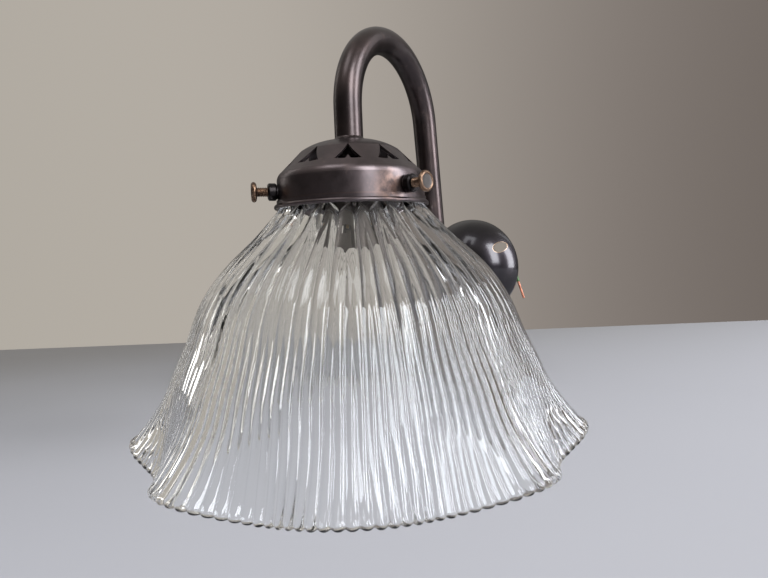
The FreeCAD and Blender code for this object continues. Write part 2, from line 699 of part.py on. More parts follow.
def make_shade():
    count = int(size("lobe_count"))
    half = math.pi / count
    line = bell_line()
    outer = bell_sheet(line, 0, half)
    inner = bell_sheet(line, size("glass_wall"), half)
    axis = FreeCAD.Vector(0, 0, 1)
    home = FreeCAD.Vector()
    sector = [outer.toShape(), inner.toShape()]
    first_row, last_row = outer.bounds()[:2]
    rim_outer = outer.uIso(last_row).toShape()
    rim_inner = inner.uIso(last_row).toShape()
    sector.append(Part.makeRuledSurface(rim_outer, rim_inner))
    rings = [outer.uIso(first_row).toShape()]
    for radius, level in neck_corners():
        spots = [
            FreeCAD.Vector(radius * math.sin(turn), -radius * math.cos(turn), level)
            for turn in (-half, 0, half)]
        rings.append(Part.Arc(*spots).toShape())
    rings.append(inner.uIso(first_row).toShape())
    for lower, upper in zip(rings, rings[1:]):
        sector.append(Part.makeRuledSurface(lower, upper))
    faces = []
    for number in range(count):
        for face in sector:
            copy = face.copy()
            copy.rotate(home, axis, 360 / count * number)
            faces.append(copy)
    skin = Part.makeCompound(faces)
    skin.sewShape()
    solid = Part.makeSolid(skin.Shells[0])
    if solid.Volume < 0:
        solid.reverse()
    shade = kept(doc.addObject("Part::Feature", "glass_shade"))
    shade.Shape = solid
    on_shade_axis(shade, LIP_LEVEL)
    shade.Placement = FreeCAD.Placement(
        shade.Placement.Base, FreeCAD.Rotation(axis, size("lobe_azimuth")))


# Bayonet lampholder

def make_front_nipple():
    length = "(nipple_grip + %s - %s)" % (GALLERY_TOP, NIPPLE_FRONT)
    on_shade_axis(ring("front_nipple", "nipple_bore", NIPPLE_RADIUS, length), NIPPLE_FRONT)


def make_holder_shell():
    neck_foot = "(cap_height - cap_neck_height)"
    shoulder = "(cap_height - cap_neck_height - cap_shoulder_drop)"
    cap = turned("lampholder_cap", [
        (ARM_BORE, "cap_height"),
        (ARM_BORE, "%s - holder_wall" % neck_foot),
        ("cap_neck_radius", "%s - holder_wall" % neck_foot, "cap_curve - holder_wall", -1),
        ("holder_radius - holder_wall", shoulder),
        ("holder_radius - holder_wall", "0"),
        ("holder_radius", "0"),
        ("holder_radius", shoulder, "cap_curve", 1),
        ("cap_neck_radius", neck_foot),
        ("cap_neck_radius", "cap_height"),
    ])
    doc.recompute()
    tapping = new_sketch(cap, "lampholder_cap_tapping", "XZ_Plane")
    round_spots(tapping, [("0", "earth_screw_height", "earth_screw_radius + thread_gap")])
    cut_away(cap, tapping, "lampholder_cap_tapping_cut", "holder_radius + cut_over")
    on_shade_axis(cap, CAP_EDGE)
    clamp = turned("lampholder_ring", [
        ("socket_radius + barrel_wall + ring_gap", "0"),
        ("holder_radius", "0"),
        ("holder_radius", "ring_height"),
        ("holder_radius - ring_wall", "ring_height"),
        ("holder_radius - ring_wall", "ring_lip"),
        ("socket_radius + barrel_wall + ring_gap", "ring_lip"),
    ])
    on_shade_axis(clamp, RING_EDGE)


def make_barrel():
    outside = "(socket_radius + barrel_wall)"
    body = turned("lampholder_barrel", [
        ("socket_radius", "0"),
        (outside, "0"),
        (outside, "barrel_length - barrel_flange"),
        ("holder_radius - ring_wall - ring_gap", "barrel_length - barrel_flange"),
        ("holder_radius - ring_wall - ring_gap", "barrel_length"),
        ("socket_radius + socket_relief", "barrel_length"),
        ("socket_radius + socket_relief", "socket_guide"),
        ("socket_radius", "socket_guide"),
    ])
    doc.recompute()
    slot = new_sketch(body, "bayonet_slot", "XZ_Plane")
    low = "(slot_height - 2 * slot_half_width)"
    far = "(slot_run + slot_half_width)"
    outline(slot, [
        ("0 - slot_half_width", "0 - cut_over"),
        ("slot_half_width", "0 - cut_over"),
        ("slot_half_width", low),
        ("slot_run - slot_half_width", low),
        ("slot_run - slot_half_width", "%s - slot_hook" % low),
        (far, "%s - slot_hook" % low),
        (far, "slot_height"),
        ("0 - slot_half_width", "slot_height"),
    ], "slot")
    cut = cut_away(body, slot, "bayonet_slot_cut", "socket_radius + cut_over")
    repeat_round(body, cut, "bayonet_slots", 2)
    on_shade_axis(body, "%s - barrel_length" % BARREL_TOP)


def make_core():
    plug = "(socket_radius + socket_relief - core_gap)"
    body = turned("lampholder_core", [
        ("0", "0"),
        (plug, "0"),
        (plug, "core_depth"),
        ("holder_radius - ring_wall - ring_gap", "core_depth"),
        ("holder_radius - ring_wall - ring_gap", "core_depth + core_flange"),
        ("core_neck_radius", "core_depth + core_flange"),
        ("core_neck_radius", "core_depth + core_flange + core_neck"),
        ("0", "core_depth + core_flange + core_neck"),
    ])
    doc.recompute()
    tips = new_sketch(body, "contact_holes", "XY_Plane")
    reach = "plunger_tip_radius + plunger_gap"
    round_spots(tips, [("contact_spread", "0", reach), ("0 - contact_spread", "0", reach)])
    cut_away(body, tips, "contact_hole_cut", "plunger_ledge + cut_over")
    wells = new_sketch(body, "contact_wells", "XY_Plane")
    wells.setExpression("AttachmentOffset.Base.z", bound("plunger_ledge"))
    reach = "plunger_radius + plunger_gap"
    round_spots(wells, [("contact_spread", "0", reach), ("0 - contact_spread", "0", reach)])
    depth = "core_depth + core_flange + core_neck + cut_over"
    cut_away(body, wells, "contact_well_cut", depth)
    on_shade_axis(body, "%s - core_depth" % BARREL_TOP)


CONTACT_LEVEL = "(%s - core_depth)" % BARREL_TOP
CORE_TOP = "(%s + core_flange + core_neck)" % BARREL_TOP


def make_contact(number, side):
    """A sprung plunger, its spring and the terminal above them."""
    across = "%s * contact_spread" % side
    collar_foot = "(plunger_stand + plunger_ledge + plunger_gap)"
    collar_top = "(%s + plunger_collar)" % collar_foot
    plunger = turned("contact_plunger_%d" % number, [
        ("0", "0"),
        ("plunger_tip_radius - plunger_gap * 4", "0"),
        ("plunger_tip_radius", "plunger_gap * 4"),
        ("plunger_tip_radius", collar_foot),
        ("plunger_radius", collar_foot),
        ("plunger_radius", collar_top),
        ("0", collar_top),
    ])
    place(plunger, across, "0 - reach", "%s - plunger_stand" % CONTACT_LEVEL)
    spring_foot = "(%s - plunger_stand + %s)" % (CONTACT_LEVEL, collar_top)
    spring = ring("plunger_spring_%d" % number, "plunger_radius - spring_wire",
                  "plunger_radius", "(%s - %s)" % (CORE_TOP, spring_foot))
    place(spring, across, "0 - reach", spring_foot)
    block = doc.addObject("Part::Box", "terminal_block_%d" % number)
    block.setExpression("Length", bound("2 * terminal_half"))
    block.setExpression("Width", bound("2 * terminal_half"))
    block.setExpression("Height", bound("terminal_height"))
    place(block, "0 - terminal_half", "0 - terminal_half", "0")
    mouth = doc.addObject("Part::Cylinder", "terminal_mouth_%d" % number)
    mouth.setExpression("Radius", bound("terminal_hole"))
    mouth.setExpression("Height", bound("terminal_depth"))
    place(mouth, "0", "0", "terminal_height - terminal_depth")
    thread = doc.addObject("Part::Cylinder", "terminal_thread_%d" % number)
    thread.setExpression("Radius", bound("terminal_screw_radius + thread_gap"))
    thread.setExpression("Height", bound("terminal_screw_length"))
    place(thread, "0", "terminal_screw_length - terminal_half", "terminal_height / 2", TO_WALL)
    tools = doc.addObject("Part::MultiFuse", "terminal_cuts_%d" % number)
    tools.Shapes = [mouth, thread]
    terminal = kept(doc.addObject("Part::Cut", "contact_terminal_%d" % number))
    terminal.Base = block
    terminal.Tool = tools
    place(terminal, across, "0 - reach", CORE_TOP)


def small_screw(shank, shank_length, head, head_height):
    """The outline of a small screw that stands on the end of its shank."""
    return [
        ("0", "0"), (shank, "0"), (shank, shank_length), (head, shank_length),
        (head, "%s + %s * 3 / 4" % (shank_length, head_height)),
        ("%s * 3 / 4" % head, "%s + %s" % (shank_length, head_height)),
        ("0", "%s + %s" % (shank_length, head_height)),
    ]


def make_terminal_screws():
    corners = small_screw("terminal_screw_radius", "terminal_screw_length",
                          "terminal_screw_head", "terminal_screw_height")
    pair = []
    for number, side in ((1, "-1"), (2, "1")):
        body = doc.addObject("PartDesign::Body", "terminal_screw_%d" % number)
        revolve(body, "terminal_screw_%d" % number, corners)
        place(body, "%s * contact_spread" % side, "terminal_screw_length - reach - terminal_half",
              "%s + terminal_height / 2" % CORE_TOP, TO_WALL)
        pair.append(body)
    group = kept(doc.addObject("Part::Compound", "terminal_screws"))
    group.Links = pair


def make_earth_screw():
    corners = small_screw("earth_screw_radius", "earth_screw_length",
                          "earth_screw_head", "terminal_screw_height")
    body = turned("earth_screw", corners)
    stand = "(holder_radius + terminal_screw_height / 4 - earth_screw_length)"
    place(body, "0", "0 - reach - %s" % stand, "%s + earth_screw_height" % CAP_EDGE, TO_WALL)


# Cores: a route of points, with an arc at each turn

# Share of the shorter run beside a turn that its arc takes
ARC_SHARE = 0.45


def route_wire(name, points):
    """Straight runs joined by tangent arcs, and the tightest radius."""
    spots = [FreeCAD.Vector(*point) for point in points]
    edges = []
    start = spots[0]
    radii = []
    for before, corner, after in zip(spots, spots[1:], spots[2:]):
        back = before - corner
        ahead = after - corner
        turn = math.pi - back.getAngle(ahead)
        cut = ARC_SHARE * min(back.Length, ahead.Length)
        radii.append(cut / math.tan(turn / 2))
        enter = corner + back.normalize() * cut
        leave = corner + ahead.normalize() * cut
        bisector = (back + ahead).normalize()
        centre = corner + bisector * (radii[-1] / math.cos(turn / 2))
        middle = centre - bisector * radii[-1]
        edges.append(Part.LineSegment(start, enter).toShape())
        edges.append(Part.Arc(enter, middle, leave).toShape())
        start = leave
    edges.append(Part.LineSegment(start, spots[-1]).toShape())
    wire = Part.Wire(edges)
    print("%s: length %.1f, radii %s" % (name, wire.Length, [round(r, 1) for r in radii]))
    return wire


def wire_solid(name, points, radius):
    """A round core along a route, as a piece of its own."""
    wire = route_wire(name, points)
    first = FreeCAD.Vector(*points[0])
    way = FreeCAD.Vector(*points[1]) - first
    section = Part.Wire(Part.Circle(first, way, radius).toShape())
    solid = wire.makePipeShell([section], True, True)
    expected = math.pi * radius ** 2 * wire.Length
    if abs(solid.Volume - expected) > SWEEP_TOLERANCE * expected:
        raise ValueError("%s holds %.1f, not %.1f" % (name, solid.Volume, expected))
    piece = kept(doc.addObject("Part::Feature", name))
    piece.Shape = solid
    return piece


# Where each core lies in the flex, as an angle about its axis
CORE_ANGLES = {"live": 210, "neutral": 330, "earth": 90}

# Routes behind the rose: across, into the wall, up, after a straight start
TAIL_ROUTES = {
    "live": [(-2.5, 3, -2), (-6, 9.5, -4), (-9.5, 15, -8), (-12, 19.5, -13.5), (-13, 22.5, -20)],
    "neutral": [(1.6, 3, -2.4), (2.4, 9.6, -5.4), (2.6, 15.2, -10), (1.8, 19.4, -15.8),
                (0.4, 22.2, -22.4)],
    "earth": [(2.5, 2, 2.6), (7.6, 6.6, 4), (14.4, 8.4, 4.4), (20.8, 8.4, 2.2), (25, 8.2, -3),
              (27.1, 8, -9.2)],
}
TAIL_START = 6.5


def core_start(kind):
    """Centre of a core on the flex's rear cut: across and up."""
    angle = math.radians(CORE_ANGLES[kind])
    circle = size("core_circle")
    return circle * math.cos(angle), circle * math.sin(angle)


def make_tails():
    """The three cores that leave the rose, each with a bare copper end."""
    stand = size(FLEX_REAR)
    for kind, route in TAIL_ROUTES.items():
        across, up = core_start(kind)
        points = [(across, -stand, up), (across, TAIL_START - stand, up)] + route
        wire_solid(kind + "_tail", points, size("wire_radius"))
        last = FreeCAD.Vector(*points[-1])
        way = last - FreeCAD.Vector(*points[-2])
        copper = Part.makeCylinder(size("copper_radius"), size("copper_length"), last, way)
        piece = kept(doc.addObject("Part::Feature", kind + "_tail_end"))
        piece.Shape = copper


def make_leads():
    """The three short cores inside the lampholder's cap."""
    level = size(FLEX_FRONT)
    axis = -size("reach")
    top = size(CORE_TOP) + size("terminal_height")
    drop = level - top
    for kind, side in (("live", -1), ("neutral", 1)):
        across, up = core_start(kind)
        spread = side * size("contact_spread")
        wire_solid(kind + "_lead", [
            (across, axis - up, level),
            (across, axis - up, level - drop / 3),
            (spread, axis, top + drop / 4),
            (spread, axis, top - size("lead_seat")),
        ], size("wire_radius"))
    across, up = core_start("earth")
    screw_end = axis - size("holder_radius + terminal_screw_height / 4 - earth_screw_length")
    screw_level = size(CAP_EDGE) + size("earth_screw_height")
    fall = level - screw_level
    wire_solid("earth_lead", [
        (across, axis - up, level),
        (across, axis - up, level - fall / 4),
        (across, axis + (screw_end - axis) / 2, screw_level + fall / 4),
        (across, screw_end + 2 * up, screw_level),
        (across, screw_end, screw_level),
    ], size("wire_radius"))


make_rose()
make_rose_fittings()
make_arm()
make_flex()
make_gallery()
for screw in range(3):
    make_gallery_bush(screw)
    make_thumb_screw(screw)
make_shade()
make_front_nipple()
make_holder_shell()
make_barrel()
make_core()
make_contact(1, "-1")
make_contact(2, "1")
make_terminal_screws()
make_earth_screw()
make_leads()
make_tails()
doc.recompute()

for item in doc.Objects:
    if "Invalid" in item.State or "Error" in item.State:
        raise ValueError("%s is %s" % (item.Label, item.State))
os.makedirs("parts", exist_ok=True)
for piece in nodes:
    if piece.Shape.isNull() or not piece.Shape.isValid():
        raise ValueError(piece.Label + " has no valid shape")
    piece.Shape.exportStep("parts/%s.step" % piece.Label)
print("pieces written:", len(nodes))
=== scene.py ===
import math

import bpy
from mathutils import Matrix, Vector


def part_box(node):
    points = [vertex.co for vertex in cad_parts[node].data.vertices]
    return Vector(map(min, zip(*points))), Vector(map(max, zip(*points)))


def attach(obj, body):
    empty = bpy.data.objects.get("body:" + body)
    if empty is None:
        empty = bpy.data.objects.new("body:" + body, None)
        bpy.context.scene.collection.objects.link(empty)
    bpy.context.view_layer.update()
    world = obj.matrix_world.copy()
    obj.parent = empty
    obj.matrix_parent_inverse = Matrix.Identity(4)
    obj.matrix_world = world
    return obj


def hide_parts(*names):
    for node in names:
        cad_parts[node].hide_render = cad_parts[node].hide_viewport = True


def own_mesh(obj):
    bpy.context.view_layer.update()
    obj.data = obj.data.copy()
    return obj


# Swan-neck wall lamp with a clear ribbed glass shade, in metres.
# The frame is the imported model's: the rose's back edge lies at y = 0, the
# lamp reaches out along -Y, and Z is up. An azimuth is measured about an
# upright axis from -Y, towards +X.

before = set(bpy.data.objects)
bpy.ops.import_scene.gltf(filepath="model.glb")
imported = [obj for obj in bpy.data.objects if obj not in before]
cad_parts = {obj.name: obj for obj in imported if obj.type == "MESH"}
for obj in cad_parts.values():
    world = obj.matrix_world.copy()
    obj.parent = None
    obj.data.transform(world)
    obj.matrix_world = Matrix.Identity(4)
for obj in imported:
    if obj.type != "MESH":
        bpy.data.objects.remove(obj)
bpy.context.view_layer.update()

MM = 0.001


def smooth(low, high, value):
    """0 below low, 1 above high, and an even curve between."""
    share = min(1.0, max(0.0, (value - low) / (high - low)))
    return share * share * (3 - 2 * share)


def centre(node):
    """The middle of a CAD node's box."""
    low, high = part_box(node)
    return (low + high) / 2


SHADE_AXIS = centre("lampholder_barrel")
LIP_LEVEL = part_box("gallery")[0].z


def about_shade(azimuth, radius, height):
    """A place about the shade's axis, its height measured from the gallery's lip."""
    return (SHADE_AXIS.x + radius * math.sin(azimuth), SHADE_AXIS.y - radius * math.cos(azimuth),
            LIP_LEVEL + height)


# Shader nodes

# A mix node's sockets for colours, by number, because their names repeat
MIX_SHARE = 0
MIX_FIRST = 6
MIX_SECOND = 7
MIX_RESULT = 2


def feed(tree, socket, value):
    """Links a node's output to a socket, or sets the socket to a constant."""
    if isinstance(value, bpy.types.NodeSocket):
        tree.links.new(value, socket)
    elif socket.type == "RGBA":
        socket.default_value = (*value, 1)
    else:
        socket.default_value = value


def grey(value):
    return (value, value, value)


def position_node(tree):
    """The place on the object at rest, in metres."""
    coordinates = tree.nodes.new("ShaderNodeTexCoord")
    return coordinates.outputs["Object"]


def height_node(tree, place):
    split = tree.nodes.new("ShaderNodeSeparateXYZ")
    feed(tree, split.inputs["Vector"], place)
    return split.outputs["Z"]


def math_node(tree, operation, first, second=0.0, clamp=False):
    """A calculation with one or two numbers."""
    node = tree.nodes.new("ShaderNodeMath")
    node.operation = operation
    node.use_clamp = clamp
    feed(tree, node.inputs[0], first)
    feed(tree, node.inputs[1], second)
    return node.outputs[0]


def vector_node(tree, operation, *values):
    """A calculation with vectors, whose result is a vector or a number."""
    node = tree.nodes.new("ShaderNodeVectorMath")
    node.operation = operation
    for socket, value in zip(node.inputs, values):
        feed(tree, socket, value)
    return node.outputs["Value" if operation in ("DOT_PRODUCT", "DISTANCE") else "Vector"]


def spread_node(tree, value, low, high, result_low=0.0, result_high=1.0):
    """Spreads low to high evenly over the result's range, and stays within it."""
    spread = tree.nodes.new("ShaderNodeMapRange")
    spread.inputs["From Min"].default_value = low
    spread.inputs["From Max"].default_value = high
    spread.inputs["To Min"].default_value = result_low
    spread.inputs["To Max"].default_value = result_high
    feed(tree, spread.inputs["Value"], value)
    return spread.outputs["Result"]


def noise_node(tree, place, scale, detail=4.0, roughness=0.55):
    """Cloudy noise, its scale in waves to the metre."""
    noise = tree.nodes.new("ShaderNodeTexNoise")
    noise.inputs["Scale"].default_value = scale
    noise.inputs["Detail"].default_value = detail
    noise.inputs["Roughness"].default_value = roughness
    feed(tree, noise.inputs["Vector"], place)
    return noise.outputs["Fac"]


def ramp_node(tree, value, stops, interpolation="LINEAR"):
    """A colour or grey ramp with stops of place and colour."""
    ramp = tree.nodes.new("ShaderNodeValToRGB")
    ramp.color_ramp.interpolation = interpolation
    elements = ramp.color_ramp.elements
    while len(elements) < len(stops):
        elements.new(0.5)
    for element, (place, colour) in zip(elements, stops):
        element.position = place
        element.color = (*colour, 1)
    feed(tree, ramp.inputs["Fac"], value)
    return ramp.outputs["Color"]


def mix_node(tree, share, first, second):
    """Mixes two colours by a share."""
    mix = tree.nodes.new("ShaderNodeMix")
    mix.data_type = "RGBA"
    feed(tree, mix.inputs[MIX_SHARE], share)
    feed(tree, mix.inputs[MIX_FIRST], first)
    feed(tree, mix.inputs[MIX_SECOND], second)
    return mix.outputs[MIX_RESULT]


def bump_node(tree, shader, height, strength, distance):
    bump = tree.nodes.new("ShaderNodeBump")
    bump.inputs["Strength"].default_value = strength
    bump.inputs["Distance"].default_value = distance
    feed(tree, bump.inputs["Height"], height)
    feed(tree, shader.inputs["Normal"], bump.outputs["Normal"])


def near_level(tree, place, level, width):
    """1 at a level of Z, fading to 0 a width above and below."""
    above = math_node(tree, "SUBTRACT", height_node(tree, place), level)
    return spread_node(tree, math_node(tree, "ABSOLUTE", above), width, 0)


def near_spot(tree, place, spot, radius, fade, along=(1, 1, 1)):
    """1 within a radius of a spot, fading to 0; along leaves axes out."""
    flat = vector_node(tree, "MULTIPLY", place, along)
    away = vector_node(tree, "DISTANCE", flat, Vector(spot) * Vector(along))
    return spread_node(tree, away, radius + fade, radius)


def round_axis_node(tree, place, axis, drawn_out):
    """The direction round an upright axis, with height drawn out by a share."""
    offset = vector_node(tree, "SUBTRACT", place, (axis.x, axis.y, 0))
    flat = vector_node(tree, "MULTIPLY", offset, (1, 1, 0))
    unit = vector_node(tree, "NORMALIZE", flat)
    return vector_node(tree, "MULTIPLY_ADD", place, (0, 0, drawn_out), unit)


# Materials

BRONZE_CLOUD_SCALE = 45
BRONZE_PATCH_SCALE = 160
BRONZE_GRAIN_SCALE = 900
BARE_METAL_SCALE = 500
COVER_SCALE = 300
GLASS_TINT = (0.975, 0.985, 0.985)
GLASS_ROUGHNESS = 0.015
GLASS_INDEX = 1.5
GLASS_STREAK_SCALE = 30
GLASS_STREAK_HEIGHT = 0.35


def new_material(name, base, roughness, metallic=0.0):
    """A material, its node tree, and its shader."""
    material = bpy.data.materials.new(name)
    material.use_nodes = True
    shader = material.node_tree.nodes["Principled BSDF"]
    shader.inputs["Base Color"].default_value = (*base, 1)
    shader.inputs["Roughness"].default_value = roughness
    shader.inputs["Metallic"].default_value = metallic
    return material, material.node_tree, shader


def bronzed_brass(name, dark, warm, rub, roughness=(0.28, 0.4), coat=(0.35, 0.25)):
    """Brass with a clouded dark finish, rubbed in patches, under lacquer.

    Roughness has its least and its most, and coat its weight and roughness.
    """
    material, tree, shader = new_material(name, dark, roughness[0], metallic=1.0)
    shader.inputs["Coat Weight"].default_value = coat[0]
    shader.inputs["Coat Roughness"].default_value = coat[1]
    place = position_node(tree)
    cloud = noise_node(tree, place, BRONZE_CLOUD_SCALE, detail=5, roughness=0.6)
    patch = noise_node(tree, place, BRONZE_PATCH_SCALE, detail=6, roughness=0.65)
    grain = noise_node(tree, place, BRONZE_GRAIN_SCALE, detail=3, roughness=0.6)
    tone = ramp_node(tree, cloud, [(0.38, dark), (0.62, warm)])
    rubbed = ramp_node(tree, patch, [(0.6, grey(0)), (0.78, grey(0.7))])
    feed(tree, shader.inputs["Base Color"], mix_node(tree, rubbed, tone, rub))
    gloss = ramp_node(tree, patch, [(0.3, grey(roughness[0])), (0.7, grey(roughness[1]))])
    feed(tree, shader.inputs["Roughness"], gloss)
    bump_node(tree, shader, grain, strength=0.06, distance=0.2 * MM)
    return material


def rub_through(material, where, colour):
    """Shows bare metal where a share from the material's own tree is 1."""
    tree = material.node_tree
    shader = tree.nodes["Principled BSDF"]
    under = shader.inputs["Base Color"].links[0].from_socket
    feed(tree, shader.inputs["Base Color"], mix_node(tree, where, under, colour))


def plain_metal(name, colour, shade, roughness):
    """Bare metal, a little clouded."""
    material, tree, shader = new_material(name, colour, roughness, metallic=1.0)
    cloud = noise_node(tree, position_node(tree), BARE_METAL_SCALE, detail=5)
    feed(tree, shader.inputs["Base Color"], ramp_node(tree, cloud, [(0.35, shade), (0.65, colour)]))
    bump_node(tree, shader, cloud, strength=0.1, distance=0.1 * MM)
    return material


def plain_cover(name, colour, shade, roughness):
    """Plastic or ceramic, with a faint unevenness."""
    material, tree, shader = new_material(name, colour, roughness)
    cloud = noise_node(tree, position_node(tree), COVER_SCALE)
    feed(tree, shader.inputs["Base Color"], ramp_node(tree, cloud, [(0.3, shade), (0.7, colour)]))
    bump_node(tree, shader, cloud, strength=0.05, distance=0.1 * MM)
    return material


def clear_glass():
    """Clear pressed glass with a fire-polished skin, uneven along its ribs."""
    material, tree, shader = new_material("clear_glass", GLASS_TINT, GLASS_ROUGHNESS)
    shader.inputs["Transmission Weight"].default_value = 1
    shader.inputs["IOR"].default_value = GLASS_INDEX
    along_ribs = round_axis_node(tree, position_node(tree), SHADE_AXIS, GLASS_STREAK_HEIGHT)
    streaks = noise_node(tree, along_ribs, GLASS_STREAK_SCALE, detail=2, roughness=0.5)
    bump_node(tree, shader, streaks, strength=0.08, distance=0.6 * MM)
    return material


# The arm and the gallery share one aged brass. The gallery's copy is lighter and the arm's is
# darker, partly their own tones and partly painted light and shade
ARM_BRASS_TONE_AND_SHADE = bronzed_brass("aged_brass", (0.040, 0.030, 0.030), (0.068, 0.049, 0.047),
                     (0.12, 0.082, 0.07))
GALLERY_BRASS_TONE_AND_LIGHT = bronzed_brass("gallery_brass_with_painted_light", (0.085, 0.068, 0.070), (0.135, 0.105, 0.106),
                        (0.22, 0.16, 0.14))
ROSE = bronzed_brass("rose_bronze", (0.018, 0.016, 0.020), (0.028, 0.024, 0.028),
                     (0.045, 0.035, 0.036), roughness=(0.27, 0.35), coat=(0.7, 0.14))
HOLDER = bronzed_brass("lampholder_brass", (0.045, 0.040, 0.037), (0.075, 0.064, 0.056),
                       (0.13, 0.105, 0.085), roughness=(0.3, 0.45))
PLAIN = plain_metal("plain_brass", (0.62, 0.43, 0.20), (0.42, 0.27, 0.13), 0.3)
BLACKENED = plain_metal("black_bush", (0.030, 0.026, 0.026), (0.018, 0.016, 0.016), 0.34)
STEEL = plain_metal("steel", (0.50, 0.50, 0.50), (0.38, 0.38, 0.39), 0.32)
COPPER = plain_metal("copper", (0.70, 0.33, 0.22), (0.48, 0.19, 0.13), 0.34)
CERAMIC = plain_cover("ceramic", (0.80, 0.77, 0.70), (0.74, 0.71, 0.64), 0.25)
BLACK = plain_cover("black_plastic", (0.02, 0.02, 0.02), (0.03, 0.03, 0.03), 0.4)
FLEX = plain_cover("flex_cover", (0.70, 0.69, 0.66), (0.62, 0.61, 0.58), 0.45)
BROWN = plain_cover("brown_core", (0.11, 0.035, 0.015), (0.08, 0.026, 0.012), 0.4)
BLUE = plain_cover("blue_core", (0.02, 0.09, 0.32), (0.016, 0.07, 0.26), 0.4)
GREEN = plain_cover("green_core", (0.045, 0.12, 0.02), (0.035, 0.10, 0.02), 0.4)
GLASS = clear_glass()

FINISHES = {
    "wall_rose": ROSE, "rose_washer": STEEL, "rose_lock_nut": PLAIN, "rear_nipple": PLAIN,
    "rear_bush": BLACK, "swan_neck_arm": ARM_BRASS_TONE_AND_SHADE, "flex_sheath": FLEX, "gallery": GALLERY_BRASS_TONE_AND_LIGHT,
    "gallery_bush_1": BLACKENED, "gallery_bush_2": BLACKENED, "gallery_bush_3": BLACKENED,
    "front_nipple": PLAIN, "lampholder_cap": HOLDER, "lampholder_ring": HOLDER,
    "lampholder_barrel": HOLDER, "lampholder_core": CERAMIC,
    "contact_plunger_1": PLAIN, "contact_plunger_2": PLAIN,
    "contact_terminal_1": PLAIN, "contact_terminal_2": PLAIN, "terminal_screws": STEEL,
    "earth_screw": PLAIN, "live_lead": BROWN, "neutral_lead": BLUE, "earth_lead": GREEN,
}


def dress_nodes():
    """Gives every CAD node that stays its material."""
    for node, material in FINISHES.items():
        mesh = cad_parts[node].data
        mesh.materials.clear()
        mesh.materials.append(material)


# Wear on the gallery and the rose

STEP_HEIGHT = 3.4 * MM
STEP_WIDTH = 0.45 * MM
STEP_COLOUR = (0.13, 0.095, 0.088)
WORN_BAND_AZIMUTH = math.radians(62)
WORN_BAND_RADIUS = 31 * MM
WORN_BAND_HEIGHT = 6 * MM
WORN_BAND_SIZE = 2 * MM
WORN_BAND_FADE = 6 * MM
WORN_BAND_SCALE = 300
WORN_BAND_COLOUR = (0.36, 0.235, 0.19)
ROSE_HOLE = (22.3 * MM, 0, 12.4 * MM)
ROSE_HOLE_RADIUS = 3.0 * MM
ROSE_HOLE_FADE = 0.4 * MM
ROSE_HOLE_COLOUR = (0.26, 0.18, 0.12)


def wear_gallery():
    """Bare metal on the gallery's fine step, and a coppery patch beside a screw."""
    tree = GALLERY_BRASS_TONE_AND_LIGHT.node_tree
    place = position_node(tree)
    step = near_level(tree, place, LIP_LEVEL + STEP_HEIGHT, STEP_WIDTH)
    rub_through(GALLERY_BRASS_TONE_AND_LIGHT, step, STEP_COLOUR)
    spot = about_shade(WORN_BAND_AZIMUTH, WORN_BAND_RADIUS, WORN_BAND_HEIGHT)
    near = near_spot(tree, place, spot, WORN_BAND_SIZE, WORN_BAND_FADE)
    cloud = noise_node(tree, place, WORN_BAND_SCALE, detail=3, roughness=0.6)
    mottled = ramp_node(tree, cloud, [(0.36, grey(0.1)), (0.6, grey(0.85))])
    rub_through(GALLERY_BRASS_TONE_AND_LIGHT, math_node(tree, "MULTIPLY", near, mottled), WORN_BAND_COLOUR)


def wear_rose():
    """Bare metal round the edge of the screw hole that shows."""
    tree = ROSE.node_tree
    rim = near_spot(tree, position_node(tree), ROSE_HOLE, ROSE_HOLE_RADIUS, ROSE_HOLE_FADE,
                    along=(1, 0, 1))
    rub_through(ROSE, rim, ROSE_HOLE_COLOUR)


# Pieces

def new_object(name, data):
    """An object with this data, in the scene."""
    made = bpy.data.objects.new(name, data)
    bpy.context.scene.collection.objects.link(made)
    return made


def new_piece(name, corners, faces, material):
    """A smooth mesh piece from its corners and faces."""
    mesh = bpy.data.meshes.new(name)
    mesh.from_pydata(corners, [], faces)
    mesh.polygons.foreach_set("use_smooth", [True] * len(mesh.polygons))
    mesh.materials.append(material)
    mesh.update()
    piece = new_object(name, mesh)
    return piece


def band_faces(rings, sides, first=0, joined=False):
    """Faces between rings of corners; joined adds those from the last ring to the first."""
    faces = []
    for ring in range(rings if joined else rings - 1):
        here = first + ring * sides
        above = first + (ring + 1) % rings * sides
        for side in range(sides):
            beside = (side + 1) % sides
            faces.append((here + side, here + beside, above + beside, above + side))
    return faces


def tube_faces(rings, sides, first=0):
    """Faces between rings of corners, and one over each end."""
    last = first + (rings - 1) * sides
    start_cap = tuple(first + side for side in reversed(range(sides)))
    end_cap = tuple(last + side for side in range(sides))
    return band_faces(rings, sides, first) + [start_cap, end_cap]


# Neck of the glass shade, in millimetres

# Levels are measured from the gallery's lip. An edge is rounded by one size,
# or eased by a step sideways and a step up or down.
GLASS_WALL = 3.0
GROOVE_RADIUS = 26.5
GROOVE_FOOT = 4.5
GROOVE_TOP = 8.35
GROOVE_EDGE = (0.3, 0.1)
GROOVE_CUT = (0.9, 0.5)
BEAD_RADIUS = 28.6
BEAD_FOOT = 9.15
BEAD_FOOT_EDGE = (0.5, 0.1)
BEAD_TOP = 12.95
BEAD_TOP_EDGE = 1.2
BEAD_TOP_EDGE_MIDDLE = 0.35
NECK_EDGE = 0.6


